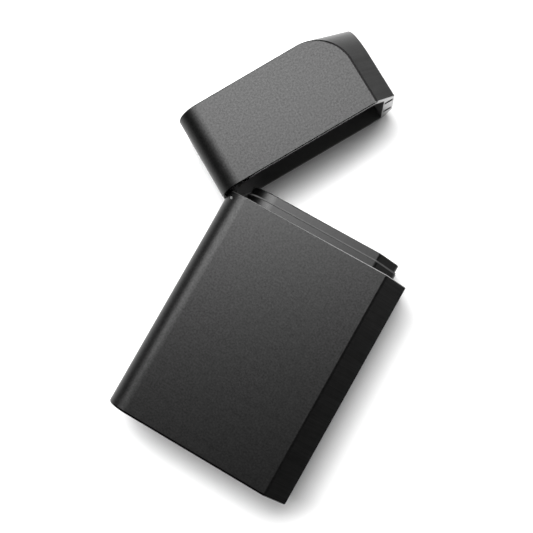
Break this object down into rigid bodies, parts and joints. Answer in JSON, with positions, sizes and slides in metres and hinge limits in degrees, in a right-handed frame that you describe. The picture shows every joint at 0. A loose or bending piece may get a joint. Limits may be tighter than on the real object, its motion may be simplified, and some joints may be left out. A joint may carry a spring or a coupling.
{
  "type": "faraday key box",
  "caption": "Flip-top signal-blocking key case: slim rounded aluminium body with a slanted edge facet, a stepped neck and a side-hinged lid that closes with magnets.",
  "frame": {"origin": "middle of the body's flat back face, on the surface that it rests on", "axes": "+X towards the flat closing side, +Y along the body towards the lid, +Z out of the front face"},
  "size_m": [0.0876, 0.1402, 0.024],
  "materials": {
    "black_anodised": "bead-blasted, black anodised, satin",
    "neck_satin": "dark grey anodised, fine satin",
    "gasket_rubber": "matt conductive elastomer",
    "felt": "short black felt",
    "foam_pad": "fine black foam",
    "steel": "turned, bright",
    "magnet_nickel": "nickel plated, fine ground"
  },
  "bodies": {
    "body": {"body_shell": "black_anodised", "bottom_plug": "black_anodised", "plug_screws": "steel", "inner_sleeve": "neck_satin", "neck_gasket": "gasket_rubber", "pocket_lining": "felt", "pocket_floor_pad": "foam_pad", "body_magnet_front": "magnet_nickel", "body_magnet_back": "magnet_nickel", "hinge_pin": "steel", "hinge_washers": "steel"},
    "lid": {"lid_shell": "black_anodised", "hinge_knuckle": "steel", "knuckle_screw": "steel", "lid_lining": "felt", "lid_top_pad": "foam_pad", "lid_magnet_front": "magnet_nickel", "lid_magnet_back": "magnet_nickel"}
  },
  "joints": [
    {"name": "lid_hinge", "type": "hinge", "parent": "body", "child": "lid", "pos_m": [-0.02895, 0.0355, 0.012], "axis": [0, 0, 1], "range_deg": [-59.6, 0]}
  ]
}
